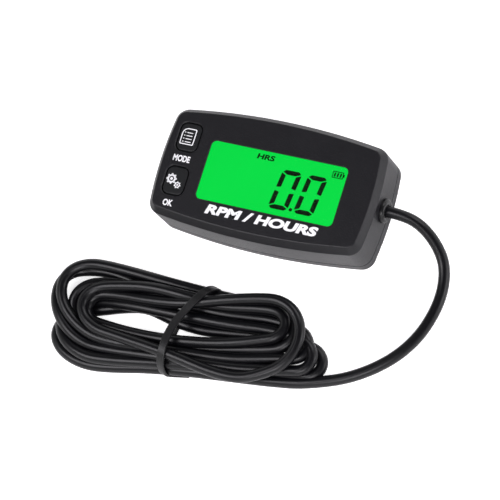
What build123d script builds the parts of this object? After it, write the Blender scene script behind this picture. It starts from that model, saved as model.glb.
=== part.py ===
"""Tachometer hour meter: a barrel-sided two-shell housing lying on its back, with two push
buttons, a backlit display and a pickup lead that ends in a tied hank.

Millimetres. The origin is the centre of the back, on the surface that the meter lies on.
+X runs to the side that the lead leaves, +Y to the top edge and +Z out of the face.
"""

from math import pi, radians, tan
import os

from build123d import *

os.makedirs("parts", exist_ok=True)

# Housing
body_length = 80.0
body_width = 43.0
body_height = 19.8
long_side_bulge = 3.0
short_side_bulge = 1.4
corner_radius = 4.7
bevel_width = 1.9
bevel_height = 2.8
face_edge_rounding = 0.5
shoulder_rounding = 0.8
wall = 2.2
face_wall = 1.8
rear_height = 4.5
rear_wall = 1.8
back_rounding = 1.0
seam_chamfer = 0.25
lip_height = 1.5
lip_thickness = 0.9
lip_clearance = 0.15
seal_inset = 0.65
seal_width = 0.9
seal_depth = 0.8
seal_clearance = 0.05

# Cover screws, one in each corner of the back
boss_radius = 2.6
boss_shift = 0.55
boss_clearance = 0.3
cover_screw_radius = 0.95
screw_end_clearance = 0.8
pilot_depth = 0.4
cover_head_radius = 1.9
cover_head_height = 1.2
cover_head_sink = 0.4
screw_clearance = 0.2
thread_clearance = 0.03
drive_slot_length = 2.5
drive_slot_width = 0.5
drive_slot_depth = 0.6

# Display
window_left_margin = 17.45
window_right_margin = 12.25
window_top_margin = 11.95
window_bottom_margin = 9.95
window_radius = 1.9
window_recess = 0.3
window_clearance = 0.1
window_flange = 1.2
window_flange_thickness = 0.6
window_edge_chamfer = 0.2
lcd_gap = 0.1
lcd_side_margin = 1.5
lcd_contact_margin = 1.2
glass_thickness = 1.1
frame_wall = 1.0
frame_clearance = 0.1
frame_ledge = 0.9
zebra_width = 1.0
guide_thickness = 2.4
guide_gap = 0.6
guide_clearance = 0.3
led_length = 3.0
led_width = 1.6
led_height = 1.6
led_chamfer = 0.2
led_clearance = 0.15

# Buttons
button_inset = 8.8
button_top_margin = 7.95
button_bottom_margin = 9.45
button_spacing = 5.8
cap_width = 7.7
cap_radius = 2.3
cap_gap = 0.3
cap_recess = 0.15
cap_edge_rounding = 0.6
cap_flange = 0.9
cap_flange_thickness = 0.8
flange_clearance = 0.1
button_travel = 0.5
aperture_chamfer = 0.3
stem_radius = 1.6
switch_size = 6.0
switch_height = 3.5
plunger_radius = 1.7
plunger_rise = 0.6
plunger_depth = 1.0
plunger_clearance = 0.15

# Circuit board and what it carries
board_thickness = 1.6
board_clearance = 0.3
lead_bay = 6.6
post_inset_x = 16.0
post_inset_y = 5.6
post_radius = 1.6
board_screw_radius = 0.9
board_screw_length = 4.6
board_head_radius = 1.5
board_head_height = 1.1
cell_offset = -10.6
cell_radius = 12.25
cell_height = 5.0
cell_cap_radius = 10.6
cell_cap_height = 0.7
cell_edge_chamfer = 0.35
holder_lift = 1.0
holder_clearance = 0.25
holder_wall = 1.5
contact_gap = 1.1
contact_width = 4.0
contact_tail = 7.0
contact_bend = 4.0
contact_reach = 6.0
strip_thickness = 0.3
clip_width = 6.0
clip_clearance = 0.1
pad_radius = 9.0
chip_inset = 14.2
chip_y = 1.5
chip_size = 10.0
chip_height = 1.4
chip_standoff = 0.1
leg_pitch = 1.27
leg_count = 7
leg_width = 0.5
leg_length = 1.1
leg_thickness = 0.25
crystal_spacing = 10.5
crystal_radius = 1.1
crystal_length = 7.0

# Pickup lead
cord_diameter = 3.9
lead_y = 0.2
core_radius = 0.5
core_clearance = 0.02
core_length = 7.5
inner_lead_length = 5.6
lead_inset = 1.0
collar_radius = 4.2
collar_straight = 0.55
grommet_neck_radius = 3.1
grommet_flange_radius = 3.8
grommet_flange_thickness = 1.2
grommet_seat = 0.1
grommet_clearance = 0.05
strain_tie_width = 1.6
strain_tie_thickness = 1.0
strain_tie_head = 2.6

# Hank of the lead and its tie
hank_height = 9.0
hank_gap_radius = 0.8
hank_edge_chamfer = 2.2
tie_x = -16.9
tie_y = -53.7
tie_turn = 78.0
tie_span = 35.6
tie_width = 3.2
tie_thickness = 0.9
tie_clearance = 0.05
socket_depth = 14.0

# How close an edge is to a level or an outline to count as on it
on_place = 0.01

# Levels from the back to the face
shoulder_level = body_height - bevel_height
inner_face = body_height - face_wall
window_bottom = inner_face - window_flange_thickness
lcd_top = window_bottom - lcd_gap
lcd_bottom = lcd_top - 2 * glass_thickness
board_top = lcd_bottom - guide_thickness - guide_gap
board_bottom = board_top - board_thickness
lead_height = board_bottom - core_radius - core_clearance
flange_bottom = inner_face - flange_clearance - cap_flange_thickness
switch_top = board_top + switch_height
plunger_top = switch_top + plunger_rise
plunger_bottom = switch_top - plunger_depth
boss_top = board_bottom - flange_clearance
cell_top = board_bottom - contact_gap
cell_bottom = cell_top - cell_height
clip_bottom = cell_bottom - clip_clearance - strip_thickness

# Places worked out from the sizes
cord_radius = cord_diameter / 2
pocket_inset = wall + lip_clearance + lip_thickness
boss_x = body_length / 2 - corner_radius - short_side_bulge + boss_shift
boss_y = body_width / 2 - corner_radius - long_side_bulge + boss_shift
post_x = body_length / 2 - post_inset_x
post_y = body_width / 2 - post_inset_y
boss_places = [(x, y) for x in (-boss_x, boss_x) for y in (-boss_y, boss_y)]
post_places = [(x, y) for x in (-post_x, post_x) for y in (-post_y, post_y)]
head_level = cover_head_sink + cover_head_height
cover_screw_length = boss_top - screw_end_clearance - head_level
window_length = body_length - window_left_margin - window_right_margin
window_width = body_width - window_top_margin - window_bottom_margin
display_x = (window_left_margin - window_right_margin) / 2
display_y = (window_bottom_margin - window_top_margin) / 2
lcd_length = window_length + 2 * lcd_side_margin
lcd_width = window_width + 2 * lcd_contact_margin
frame_length = lcd_length + 2 * (frame_clearance + frame_wall)
frame_width = lcd_width + 2 * (frame_clearance + frame_wall)
wall_outside = body_length / 2
wall_inside = wall_outside - wall
board_right = wall_inside - lead_bay
lead_start = wall_outside - lead_inset
cell_x = display_x + cell_offset
chip_x = board_right - chip_inset
button_x = button_inset - body_length / 2
cap_length = (body_width - button_top_margin - button_bottom_margin - button_spacing) / 2
menu_y = body_width / 2 - button_top_margin - cap_length / 2
set_y = button_bottom_margin + cap_length / 2 - body_width / 2


def body_outline(inset=0.0):
    """The barrel-sided outline of the housing, drawn in all round by the inset."""
    half_length = body_length / 2
    half_width = body_width / 2
    corner_x = half_length - short_side_bulge
    corner_y = half_width - long_side_bulge
    with BuildSketch(mode=Mode.PRIVATE) as outline:
        with BuildLine():
            ThreePointArc((-corner_x, corner_y), (0, half_width), (corner_x, corner_y))
            ThreePointArc((corner_x, corner_y), (half_length, 0), (corner_x, -corner_y))
            ThreePointArc((corner_x, -corner_y), (0, -half_width), (-corner_x, -corner_y))
            ThreePointArc((-corner_x, -corner_y), (-half_length, 0), (-corner_x, corner_y))
        make_face()
        if inset > 0:
            offset(amount=-inset, kind=Kind.INTERSECTION, mode=Mode.REPLACE)
        fillet(outline.vertices(), corner_radius - inset)
    return outline.sketch


def edges_at(piece, level):
    """The edges of a piece that lie flat at a level."""
    return piece.edges().filter_by_position(Axis.Z, level - on_place, level + on_place)


def edges_inside(edges, centre_x, centre_y, length, width):
    """Those of the edges whose middles lie within a rectangle seen from above."""
    return [edge for edge in edges if abs(edge.center().X - centre_x) <= length / 2 + on_place
            and abs(edge.center().Y - centre_y) <= width / 2 + on_place]


# Front housing
with BuildPart() as front_housing:
    with BuildSketch(Plane.XY.offset(rear_height)):
        add(body_outline())
    extrude(amount=shoulder_level - rear_height)
    with BuildSketch(Plane.XY.offset(shoulder_level)):
        add(body_outline())
    with BuildSketch(Plane.XY.offset(body_height)):
        add(body_outline(bevel_width))
    loft(ruled=True)
    fillet(edges_at(front_housing, body_height), face_edge_rounding)
    fillet(edges_at(front_housing, shoulder_level), shoulder_rounding)
    chamfer(edges_at(front_housing, rear_height), seam_chamfer)
    with BuildSketch(Plane.XY.offset(rear_height)):
        add(body_outline(wall))
    extrude(amount=inner_face - rear_height, mode=Mode.SUBTRACT)
    with BuildSketch(Plane.XY.offset(rear_height)):
        with Locations(*boss_places):
            Circle(boss_radius)
    extrude(amount=boss_top - rear_height)
    with BuildSketch(Plane.XY.offset(board_top)):
        with Locations(*post_places):
            Circle(post_radius)
    extrude(amount=inner_face - board_top)
    with BuildSketch(Plane.XY.offset(rear_height)):
        with Locations(*boss_places):
            Circle(cover_screw_radius + thread_clearance)
    extrude(amount=head_level + cover_screw_length + pilot_depth - rear_height, mode=Mode.SUBTRACT)
    with BuildSketch(Plane.XY.offset(board_top)):
        with Locations(*post_places):
            Circle(board_screw_radius + thread_clearance)
    extrude(amount=board_screw_length - board_thickness + pilot_depth, mode=Mode.SUBTRACT)
    with BuildSketch(Plane.XY.offset(inner_face)):
        with Locations((display_x, display_y)):
            RectangleRounded(window_length, window_width, window_radius)
        with Locations((button_x, menu_y), (button_x, set_y)):
            RectangleRounded(cap_width + 2 * cap_gap, cap_length + 2 * cap_gap, cap_radius + cap_gap)
    extrude(amount=face_wall, mode=Mode.SUBTRACT)
    rims = edges_at(front_housing, body_height)
    for place_y in (menu_y, set_y):
        chamfer(edges_inside(rims, button_x, place_y, cap_width + 2 * cap_gap, cap_length + 2 * cap_gap),
                aperture_chamfer)
    chamfer(edges_inside(rims, display_x, display_y, window_length, window_width), window_edge_chamfer)
    with BuildSketch(Plane.YZ.offset(wall_inside - wall / 2)):
        with Locations((lead_y, lead_height)):
            Circle(grommet_neck_radius + grommet_clearance)
    extrude(amount=2 * wall, mode=Mode.SUBTRACT)
front_housing.part.label = "front_housing"
export_step(front_housing.part, "parts/front_housing.step")

# Rear cover
with BuildPart() as rear_cover:
    with BuildSketch():
        add(body_outline())
    extrude(amount=rear_height)
    fillet(edges_at(rear_cover, 0), back_rounding)
    chamfer(edges_at(rear_cover, rear_height), seam_chamfer)
    with BuildSketch(Plane.XY.offset(rear_wall)):
        add(body_outline(pocket_inset))
    extrude(amount=rear_height - rear_wall, mode=Mode.SUBTRACT)
    with BuildSketch(Plane.XY.offset(rear_height)):
        add(body_outline(wall + lip_clearance))
        add(body_outline(pocket_inset), mode=Mode.SUBTRACT)
    extrude(amount=lip_height)
    with BuildSketch(Plane.XY.offset(rear_wall)):
        with Locations(*boss_places):
            Circle(boss_radius)
    extrude(amount=rear_height - rear_wall)
    with BuildSketch(Plane.XY.offset(rear_height)):
        with Locations(*boss_places):
            Circle(boss_radius + boss_clearance)
        with Locations(*post_places):
            Circle(board_head_radius + boss_clearance)
        with Locations((wall_inside, lead_y)):
            Rectangle(2 * lead_bay, 2 * (grommet_flange_radius + boss_clearance))
    extrude(amount=lip_height, mode=Mode.SUBTRACT)
    with BuildSketch(Plane.XY.offset(rear_height)):
        add(body_outline(seal_inset))
        add(body_outline(seal_inset + seal_width), mode=Mode.SUBTRACT)
    extrude(amount=-seal_depth, mode=Mode.SUBTRACT)
    with BuildSketch():
        with Locations(*boss_places):
            Circle(cover_head_radius + screw_clearance)
    extrude(amount=head_level, mode=Mode.SUBTRACT)
    with BuildSketch():
        with Locations(*boss_places):
            Circle(cover_screw_radius + screw_clearance)
    extrude(amount=rear_height, mode=Mode.SUBTRACT)
rear_cover.part.label = "rear_cover"
export_step(rear_cover.part, "parts/rear_cover.step")

# Rubber ring in the rear cover's groove
with BuildPart() as housing_seal:
    with BuildSketch(Plane.XY.offset(rear_height - seal_depth)):
        add(body_outline(seal_inset + seal_clearance))
        add(body_outline(seal_inset + seal_width - seal_clearance), mode=Mode.SUBTRACT)
    extrude(amount=seal_depth)
housing_seal.part.label = "housing_seal"
export_step(housing_seal.part, "parts/housing_seal.step")


def add_screws(places, head_bottom, head_radius, head_height, shank_radius, shank_length):
    """Screws that point up, with plain round heads."""
    with BuildSketch(Plane.XY.offset(head_bottom)) as heads:
        with Locations(*places):
            Circle(head_radius)
    extrude(heads.sketch, amount=head_height)
    with BuildSketch(Plane.XY.offset(head_bottom + head_height)) as shanks:
        with Locations(*places):
            Circle(shank_radius)
    extrude(shanks.sketch, amount=shank_length)


# Cover screws with a cross in each head, and the screws that hold the board to its posts
with BuildPart() as cover_screws:
    add_screws(boss_places, cover_head_sink, cover_head_radius, cover_head_height,
               cover_screw_radius, cover_screw_length)
    with BuildSketch(Plane.XY.offset(cover_head_sink)):
        with Locations(*boss_places):
            Rectangle(drive_slot_length, drive_slot_width)
            Rectangle(drive_slot_width, drive_slot_length)
    extrude(amount=drive_slot_depth, mode=Mode.SUBTRACT)
cover_screws.part.label = "cover_screws"
export_step(cover_screws.part, "parts/cover_screws.step")

with BuildPart() as board_screws:
    add_screws(post_places, board_bottom - board_head_height, board_head_radius, board_head_height,
               board_screw_radius, board_screw_length)
board_screws.part.label = "board_screws"
export_step(board_screws.part, "parts/board_screws.step")

# Display window: a clear plate whose flange lies behind the face
with BuildPart() as display_window:
    with BuildSketch(Plane.XY.offset(window_bottom)):
        with Locations((display_x, display_y)):
            RectangleRounded(window_length + 2 * window_flange, window_width + 2 * window_flange,
                             window_radius)
    extrude(amount=window_flange_thickness)
    with BuildSketch(Plane.XY.offset(inner_face)):
        with Locations((display_x, display_y)):
            RectangleRounded(window_length - 2 * window_clearance, window_width - 2 * window_clearance,
                             window_radius - window_clearance)
    extrude(amount=face_wall - window_recess)
display_window.part.label = "display_window"
export_step(display_window.part, "parts/display_window.step")

# Liquid-crystal panel: the upper glass overhangs the lower one at its contact edges
with BuildPart() as lcd_panel:
    with BuildSketch(Plane.XY.offset(lcd_bottom)):
        with Locations((display_x, display_y)):
            Rectangle(lcd_length, window_width)
    extrude(amount=glass_thickness)
    with BuildSketch(Plane.XY.offset(lcd_bottom + glass_thickness)):
        with Locations((display_x, display_y)):
            Rectangle(lcd_length, lcd_width)
    extrude(amount=glass_thickness)
lcd_panel.part.label = "lcd_panel"
export_step(lcd_panel.part, "parts/lcd_panel.step")

# Frame that holds the panel, its contact strips and the light guide on the board
with BuildPart() as lcd_frame:
    with BuildSketch(Plane.XY.offset(board_top)):
        with Locations((display_x, display_y)):
            RectangleRounded(frame_length, frame_width, frame_wall)
            Rectangle(lcd_length - 2 * frame_ledge, lcd_width + 2 * frame_clearance, mode=Mode.SUBTRACT)
    extrude(amount=lcd_bottom - board_top)
    with BuildSketch(Plane.XY.offset(lcd_bottom)):
        with Locations((display_x, display_y)):
            RectangleRounded(frame_length, frame_width, frame_wall)
            Rectangle(lcd_length + 2 * frame_clearance, lcd_width + 2 * frame_clearance,
                      mode=Mode.SUBTRACT)
    extrude(amount=lcd_top - lcd_bottom)
lcd_frame.part.label = "lcd_frame"
export_step(lcd_frame.part, "parts/lcd_frame.step")

# Contact strips between the board and the overhanging edges of the glass
zebra_y = (window_width + lcd_contact_margin) / 2
zebra_height = lcd_bottom + glass_thickness - board_top
zebra_length = lcd_length - 2 * frame_ledge - 2 * frame_clearance
with BuildPart() as zebra_strip_top:
    with BuildSketch(Plane.XY.offset(board_top)):
        with Locations((display_x, display_y + zebra_y)):
            Rectangle(zebra_length, zebra_width)
    extrude(amount=zebra_height)
zebra_strip_top.part.label = "zebra_strip_top"
export_step(zebra_strip_top.part, "parts/zebra_strip_top.step")

with BuildPart() as zebra_strip_bottom:
    with BuildSketch(Plane.XY.offset(board_top)):
        with Locations((display_x, display_y - zebra_y)):
            Rectangle(zebra_length, zebra_width)
    extrude(amount=zebra_height)
zebra_strip_bottom.part.label = "zebra_strip_bottom"
export_step(zebra_strip_bottom.part, "parts/zebra_strip_bottom.step")

# Light guide with a pocket at each end for its lamp
guide_length = zebra_length - 2 * guide_clearance
guide_width = 2 * zebra_y - zebra_width - 2 * guide_clearance
led_x = guide_length / 2 - led_width / 2 - guide_clearance
with BuildPart() as light_guide:
    with BuildSketch(Plane.XY.offset(board_top)):
        with Locations((display_x, display_y)):
            Rectangle(guide_length, guide_width)
    extrude(amount=guide_thickness)
    with BuildSketch(Plane.XY.offset(board_top)):
        with Locations((display_x - led_x, display_y), (display_x + led_x, display_y)):
            Rectangle(led_width + 2 * led_clearance, led_length + 2 * led_clearance)
    extrude(amount=led_height + led_clearance, mode=Mode.SUBTRACT)
light_guide.part.label = "light_guide"
export_step(light_guide.part, "parts/light_guide.step")

with BuildPart() as backlight_led_left:
    with BuildSketch(Plane.XY.offset(board_top)):
        with Locations((display_x - led_x, display_y)):
            Rectangle(led_width, led_length)
    extrude(amount=led_height)
    chamfer(edges_at(backlight_led_left, board_top + led_height), led_chamfer)
backlight_led_left.part.label = "backlight_led_left"
export_step(backlight_led_left.part, "parts/backlight_led_left.step")

with BuildPart() as backlight_led_right:
    with BuildSketch(Plane.XY.offset(board_top)):
        with Locations((display_x + led_x, display_y)):
            Rectangle(led_width, led_length)
    extrude(amount=led_height)
    chamfer(edges_at(backlight_led_right, board_top + led_height), led_chamfer)
backlight_led_right.part.label = "backlight_led_right"
export_step(backlight_led_right.part, "parts/backlight_led_right.step")

# Circuit board, resting on the corner bosses and cut short of the lead
with BuildPart() as circuit_board:
    with BuildSketch(Plane.XY.offset(board_bottom)):
        add(body_outline(wall + board_clearance))
        with Locations((board_right + body_length / 2, 0)):
            Rectangle(body_length, body_width, mode=Mode.SUBTRACT)
        with Locations(*post_places):
            Circle(board_screw_radius + screw_clearance, mode=Mode.SUBTRACT)
    extrude(amount=board_thickness)
circuit_board.part.label = "circuit_board"
export_step(circuit_board.part, "parts/circuit_board.step")

# Coin cell under the board, with its holder, contact and clip
with BuildPart() as battery_cell:
    with BuildSketch(Plane.XY.offset(cell_bottom)):
        with Locations((cell_x, 0)):
            Circle(cell_radius)
    extrude(amount=cell_height - cell_cap_height)
    chamfer(edges_at(battery_cell, cell_bottom), cell_edge_chamfer)
    with BuildSketch(Plane.XY.offset(cell_top - cell_cap_height)):
        with Locations((cell_x, 0)):
            Circle(cell_cap_radius)
    extrude(amount=cell_cap_height)
battery_cell.part.label = "battery_cell"
export_step(battery_cell.part, "parts/battery_cell.step")

holder_radius = cell_radius + holder_clearance + holder_wall
with BuildPart() as battery_holder:
    with BuildSketch(Plane.XY.offset(cell_bottom + holder_lift)):
        with Locations((cell_x, 0)):
            Circle(holder_radius)
            Circle(cell_radius + holder_clearance, mode=Mode.SUBTRACT)
    extrude(amount=board_bottom - cell_bottom - holder_lift)
battery_holder.part.label = "battery_holder"
export_step(battery_holder.part, "parts/battery_holder.step")

with BuildPart() as battery_contact:
    with BuildSketch(Plane.XZ.offset(-contact_width / 2)):
        with BuildLine():
            upper = board_bottom
            lower = cell_top + core_clearance
            Polyline((cell_x - contact_tail, upper), (cell_x, upper),
                     (cell_x + contact_bend, lower + strip_thickness),
                     (cell_x + contact_reach, lower + 2 * strip_thickness),
                     (cell_x + contact_reach, lower + strip_thickness),
                     (cell_x + contact_bend, lower), (cell_x, upper - strip_thickness),
                     (cell_x - contact_tail, upper - strip_thickness), close=True)
        make_face()
    extrude(amount=contact_width)
battery_contact.part.label = "battery_contact"
export_step(battery_contact.part, "parts/battery_contact.step")

with BuildPart() as battery_clip:
    with BuildSketch(Plane.XZ.offset(-clip_width / 2)):
        inside = holder_radius + clip_clearance
        outside = inside + strip_thickness
        with BuildLine():
            Polyline((cell_x - outside, board_bottom), (cell_x - outside, clip_bottom),
                     (cell_x + outside, clip_bottom), (cell_x + outside, board_bottom),
                     (cell_x + inside, board_bottom), (cell_x + inside, clip_bottom + strip_thickness),
                     (cell_x - inside, clip_bottom + strip_thickness), (cell_x - inside, board_bottom),
                     close=True)
        make_face()
    extrude(amount=clip_width)
battery_clip.part.label = "battery_clip"
export_step(battery_clip.part, "parts/battery_clip.step")

with BuildPart() as battery_pad:
    with BuildSketch(Plane.XY.offset(rear_wall)):
        with Locations((cell_x, 0)):
            Circle(pad_radius)
    extrude(amount=clip_bottom - clip_clearance - rear_wall)
battery_pad.part.label = "battery_pad"
export_step(battery_pad.part, "parts/battery_pad.step")

# Controller chip under the board, with legs along all four sides
chip_top = board_bottom - chip_standoff
with BuildPart() as controller_chip:
    with BuildSketch(Plane.XY.offset(chip_top - chip_height)):
        with Locations((chip_x, chip_y)):
            Rectangle(chip_size, chip_size)
    extrude(amount=chip_height)
    with BuildSketch(Plane.XY.offset(board_bottom - leg_thickness)):
        leg_reach = chip_size / 2 + leg_length / 2
        with Locations((chip_x, chip_y)):
            with GridLocations(2 * leg_reach, leg_pitch, 2, leg_count):
                Rectangle(leg_length, leg_width)
            with GridLocations(leg_pitch, 2 * leg_reach, leg_count, 2):
                Rectangle(leg_width, leg_length)
    extrude(amount=leg_thickness)
controller_chip.part.label = "controller_chip"
export_step(controller_chip.part, "parts/controller_chip.step")

with BuildPart() as crystal:
    with BuildSketch(Plane.YZ.offset(chip_x - crystal_length / 2)):
        with Locations((chip_y - crystal_spacing, board_bottom - crystal_radius - core_clearance)):
            Circle(crystal_radius)
    extrude(amount=crystal_length)
crystal.part.label = "crystal"
export_step(crystal.part, "parts/crystal.step")


def add_switch(place_y):
    """A tactile switch housing with the round well that its plunger slides in."""
    with BuildSketch(Plane.XY.offset(board_top)) as case:
        with Locations((button_x, place_y)):
            Rectangle(switch_size, switch_size)
    extrude(case.sketch, amount=switch_height)
    well_depth = plunger_depth + button_travel + plunger_clearance
    with BuildSketch(Plane.XY.offset(switch_top - well_depth)) as well:
        with Locations((button_x, place_y)):
            Circle(plunger_radius + plunger_clearance)
    extrude(well.sketch, amount=well_depth, mode=Mode.SUBTRACT)


def add_plunger(place_y):
    """The round plunger of a tactile switch, which the button's stem rests on."""
    with BuildSketch(Plane.XY.offset(plunger_bottom)) as plunger:
        with Locations((button_x, place_y)):
            Circle(plunger_radius)
    extrude(plunger.sketch, amount=plunger_top - plunger_bottom)


def add_button(button, place_y):
    """A button cap with the flange that keeps it in and the stem that works its switch."""
    cap_top = body_height - cap_recess
    flange_width = cap_width + 2 * cap_flange
    flange_length = cap_length + 2 * cap_flange
    with BuildSketch(Plane.XY.offset(flange_bottom)) as flange_face:
        with Locations((button_x, place_y)):
            RectangleRounded(flange_width, flange_length, cap_radius + cap_flange)
    extrude(flange_face.sketch, amount=cap_flange_thickness)
    with BuildSketch(Plane.XY.offset(flange_bottom + cap_flange_thickness)) as cap_face:
        with Locations((button_x, place_y)):
            RectangleRounded(cap_width, cap_length, cap_radius)
    extrude(cap_face.sketch, amount=cap_top - flange_bottom - cap_flange_thickness)
    fillet(edges_at(button, cap_top), cap_edge_rounding)
    with BuildSketch(Plane.XY.offset(plunger_top)) as stem:
        with Locations((button_x, place_y)):
            Circle(stem_radius)
    extrude(stem.sketch, amount=flange_bottom - plunger_top)


with BuildPart() as menu_switch:
    add_switch(menu_y)
menu_switch.part.label = "menu_switch"
export_step(menu_switch.part, "parts/menu_switch.step")

with BuildPart() as set_switch:
    add_switch(set_y)
set_switch.part.label = "set_switch"
export_step(set_switch.part, "parts/set_switch.step")

with BuildPart() as menu_switch_plunger:
    add_plunger(menu_y)
menu_switch_plunger.part.label = "menu_switch_plunger"
export_step(menu_switch_plunger.part, "parts/menu_switch_plunger.step")

with BuildPart() as set_switch_plunger:
    add_plunger(set_y)
set_switch_plunger.part.label = "set_switch_plunger"
export_step(set_switch_plunger.part, "parts/set_switch_plunger.step")

with BuildPart() as menu_button:
    add_button(menu_button, menu_y)
menu_button.part.label = "menu_button"
export_step(menu_button.part, "parts/menu_button.step")

with BuildPart() as set_button:
    add_button(set_button, set_y)
set_button.part.label = "set_button"
export_step(set_button.part, "parts/set_button.step")

# Grommet: a flange inside, a neck through the wall and a round bead outside
lead_axis = Axis((0, lead_y, lead_height), (1, 0, 0))
with BuildPart() as lead_grommet:
    with BuildSketch(Plane.XZ.offset(-lead_y)):
        bead_start = wall_outside + collar_straight
        bead_radius = (collar_radius - cord_radius) / 2
        bead_middle = (collar_radius + cord_radius) / 2
        with BuildLine():
            rim = (bead_start, lead_height + collar_radius)
            mouth = (bead_start, lead_height + cord_radius)
            seat = wall_inside - grommet_seat
            flange = seat - grommet_flange_thickness
            Polyline(mouth, (flange, lead_height + cord_radius),
                     (flange, lead_height + grommet_flange_radius),
                     (seat, lead_height + grommet_flange_radius),
                     (seat, lead_height + grommet_neck_radius),
                     (wall_outside, lead_height + grommet_neck_radius),
                     (wall_outside, lead_height + collar_radius), rim)
            ThreePointArc(rim, (bead_start + bead_radius, lead_height + bead_middle), mouth)
        make_face()
    revolve(axis=lead_axis)
lead_grommet.part.label = "lead_grommet"
export_step(lead_grommet.part, "parts/lead_grommet.step")

# The lead's end inside the housing, its conductor and the strain-relief tie round it
inner_end = lead_start - inner_lead_length
with BuildPart() as inner_lead:
    with BuildSketch(Plane.YZ.offset(inner_end)):
        with Locations((lead_y, lead_height)):
            Circle(cord_radius)
    extrude(amount=inner_lead_length)
inner_lead.part.label = "inner_lead"
export_step(inner_lead.part, "parts/inner_lead.step")

with BuildPart() as lead_core:
    with BuildSketch(Plane.YZ.offset(inner_end - core_length)):
        with Locations((lead_y, lead_height)):
            Circle(core_radius)
    extrude(amount=core_length)
lead_core.part.label = "lead_core"
export_step(lead_core.part, "parts/lead_core.step")

strain_tie_x = wall_inside - grommet_seat - grommet_flange_thickness - strain_tie_width - grommet_clearance
with BuildPart() as strain_tie:
    with BuildSketch(Plane.YZ.offset(strain_tie_x)):
        with Locations((lead_y, lead_height)):
            Circle(cord_radius + core_clearance + strain_tie_thickness)
        with Locations((lead_y - cord_radius - strain_tie_head / 2, lead_height)):
            Rectangle(strain_tie_head, strain_tie_head)
        with Locations((lead_y, lead_height)):
            Circle(cord_radius + core_clearance, mode=Mode.SUBTRACT)
    extrude(amount=strain_tie_width)
strain_tie.part.label = "strain_tie"
export_step(strain_tie.part, "parts/strain_tie.step")

# The lead from the wall down to the surface and round to the hank: its points, and how much of
# the shorter of two runs the arc between them takes up at each end
bend_share = 0.45
lead_route = [
    (lead_start, lead_y, lead_height),
    (50.0, lead_y, lead_height),
    (58.2, -3.9, 6.9),
    (63.1, -10.8, 3.3),
    (65.1, -19.0, cord_radius),
    (64.8, -28.2, cord_radius),
    (61.0, -37.8, cord_radius),
    (53.8, -47.1, cord_radius),
    (43.2, -55.0, cord_radius),
    (31.4, -60.6, cord_radius),
    (20.8, -62.8, cord_radius),
]


def bend_radii(route):
    """The radius at each inner point of a route: as large as its two runs allow."""
    radii = []
    for before, point, after in zip(route, route[1:], route[2:]):
        run_in = Vector(*point) - Vector(*before)
        run_out = Vector(*after) - Vector(*point)
        half_turn = radians(run_in.get_angle(run_out)) / 2
        radii.append(bend_share * min(run_in.length, run_out.length) / tan(half_turn))
    return radii


lead_radii = bend_radii(lead_route)
print("lead radii:", [round(radius, 1) for radius in lead_radii])
with BuildPart() as lead_run:
    with BuildLine() as lead_path:
        FilletPolyline(*lead_route, radius=lead_radii)
    with BuildSketch(Plane(origin=lead_path.wire() @ 0, z_dir=lead_path.wire() % 0)):
        Circle(cord_radius)
    sweep(path=lead_path.wire())
print("lead length:", round(lead_path.wire().length, 1))
print("lead volume over section times length:",
      round(lead_run.part.volume / (pi * cord_radius**2 * lead_path.wire().length), 4))
lead_run.part.label = "lead_run"
export_step(lead_run.part, "parts/lead_run.step")

# Outer shape of the hank: rounded ends, a waist at the tie and the gap between its two sides
hank_outline = [
    (-58.0, -36.0), (-70.4, -43.5), (-70.6, -55.5), (-66.0, -68.0), (-57.0, -74.8), (-42.0, -74.6),
    (-22.0, -70.2), (8.2, -67.6), (24.0, -60.6), (34.8, -53.0), (26.0, -44.0), (16.5, -35.0),
    (3.0, -34.4), (-14.0, -37.4), (-37.0, -35.6),
]
outline_radii = bend_radii([hank_outline[-1], *hank_outline, hank_outline[0]])
hank_gap = [(-48.0, -55.2), (-39.0, -51.4), (-31.0, -50.6), (-23.0, -52.8), (-24.5, -55.6), (-38.0, -56.6)]
tie_plane = Plane(origin=(tie_x, tie_y, 0), x_dir=Vector(1, 0, 0).rotate(Axis.Z, tie_turn), z_dir=(0, 0, 1))
band_plane = Plane(origin=(tie_x, tie_y, 0), x_dir=tie_plane.x_dir, z_dir=-tie_plane.y_dir)


def add_band_ring(clearance, mode):
    """The ring of the tie round the hank, drawn in the upright plane along its span."""
    outer_height = hank_height + tie_thickness + 2 * clearance
    inner_height = hank_height - tie_thickness - 2 * clearance
    with BuildSketch(band_plane.offset(-tie_width / 2 - clearance)) as ring:
        with Locations((0, (hank_height + tie_thickness) / 2)):
            RectangleRounded(tie_span + 2 * clearance, outer_height, 2 * tie_thickness)
            RectangleRounded(tie_span - 2 * tie_thickness - 2 * clearance, inner_height, tie_thickness,
                             mode=Mode.SUBTRACT)
    extrude(ring.sketch, amount=tie_width + 2 * clearance, mode=mode)


with BuildPart() as lead_hank:
    with BuildSketch():
        with BuildLine():
            FilletPolyline(*hank_outline, radius=outline_radii, close=True)
        make_face()
    extrude(amount=hank_height)
    chamfer(edges_at(lead_hank, hank_height), hank_edge_chamfer)
    with BuildSketch() as gap_face:
        with BuildLine():
            Polyline(*hank_gap, close=True)
        make_face()
        fillet(gap_face.vertices(), hank_gap_radius)
    extrude(amount=hank_height, mode=Mode.SUBTRACT)
    with BuildSketch(Plane(origin=lead_path.wire() @ 1, z_dir=-(lead_path.wire() % 1))):
        Circle(cord_radius + tie_clearance)
    extrude(amount=socket_depth, mode=Mode.SUBTRACT)
    add_band_ring(tie_clearance, Mode.SUBTRACT)
lead_hank.part.label = "lead_hank"
export_step(lead_hank.part, "parts/lead_hank.step")

# Flat tie round the middle of the hank
with BuildPart() as hank_tie:
    add_band_ring(0, Mode.ADD)
hank_tie.part.label = "hank_tie"
export_step(hank_tie.part, "parts/hank_tie.step")
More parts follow.
